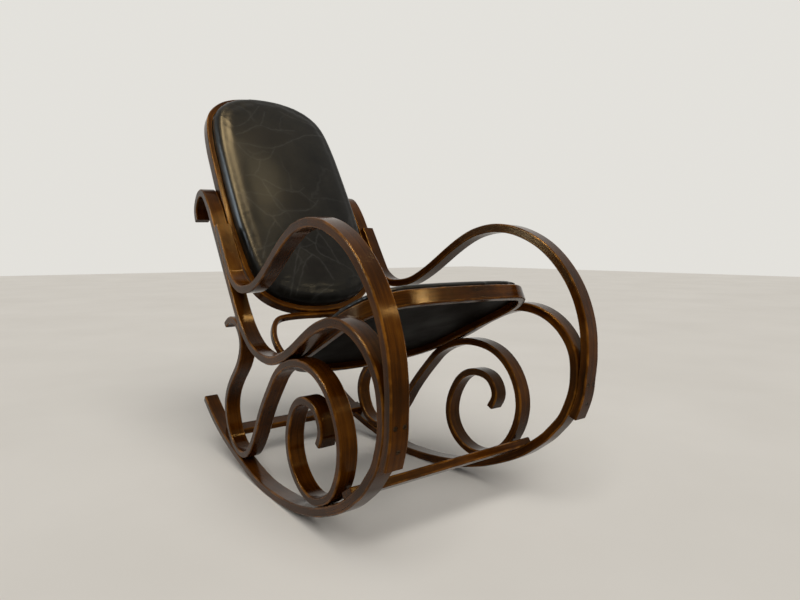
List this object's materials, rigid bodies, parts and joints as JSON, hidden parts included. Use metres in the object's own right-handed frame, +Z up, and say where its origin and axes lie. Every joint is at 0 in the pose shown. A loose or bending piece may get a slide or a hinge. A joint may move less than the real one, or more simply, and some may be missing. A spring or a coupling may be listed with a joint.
{
  "type": "bentwood rocking chair",
  "caption": "Rocking chair of steam-bent wood strips: scrolled side frames with looped arms on long curved rockers, and a padded seat and back held in round-cornered hoops.",
  "frame": {"origin": "centre of the whole chair's box in plan, on the floor, at the height of the rockers' lowest point", "axes": "+Z up; +Y towards the back of the chair, so a sitter faces -Y; +X is the sitter's left-hand side"},
  "size_m": [0.5468, 1.059, 1.0228],
  "materials": {
    "walnut": "gloss",
    "dark_panel": "matte",
    "leather": "satin",
    "filling": "matte",
    "screws": "satin"
  },
  "bodies": {
    "root": {"rocker_strip_right": "walnut", "arm_strip_right": "walnut", "scroll_strip_right": "walnut", "rocker_strip_left": "walnut", "arm_strip_left": "walnut", "scroll_strip_left": "walnut", "stretcher_front": "walnut", "stretcher_rear": "walnut", "seat_hoop": "walnut", "back_hoop": "walnut", "back_support_ring": "walnut", "seat_panel": "dark_panel", "back_panel": "dark_panel", "seat_cover": "leather", "seat_filling": "filling", "back_cover": "leather", "back_filling": "filling", "arm_post_screw_upper_right": "screws", "arm_post_screw_lower_right": "screws", "arm_front_screw_outer_right": "screws", "arm_front_screw_inner_right": "screws", "arm_front_screw_lower_right": "screws", "scroll_hook_screw_right": "screws", "scroll_arch_screw_right": "screws", "scroll_foot_screw_right": "screws", "scroll_loop_screw_right": "screws", "front_stretcher_screw_right": "screws", "rear_stretcher_screw_right": "screws", "seat_front_screw_right": "screws", "seat_rear_screw_right": "screws", "back_screw_right": "screws", "arm_post_screw_upper_left": "screws", "arm_post_screw_lower_left": "screws", "arm_front_screw_outer_left": "screws", "arm_front_screw_inner_left": "screws", "arm_front_screw_lower_left": "screws", "scroll_hook_screw_left": "screws", "scroll_arch_screw_left": "screws", "scroll_foot_screw_left": "screws", "scroll_loop_screw_left": "screws", "front_stretcher_screw_left": "screws", "rear_stretcher_screw_left": "screws", "seat_front_screw_left": "screws", "seat_rear_screw_left": "screws", "back_screw_left": "screws", "ring_seat_screw": "screws", "ring_back_screw": "screws"}
  },
  "joints": []
}
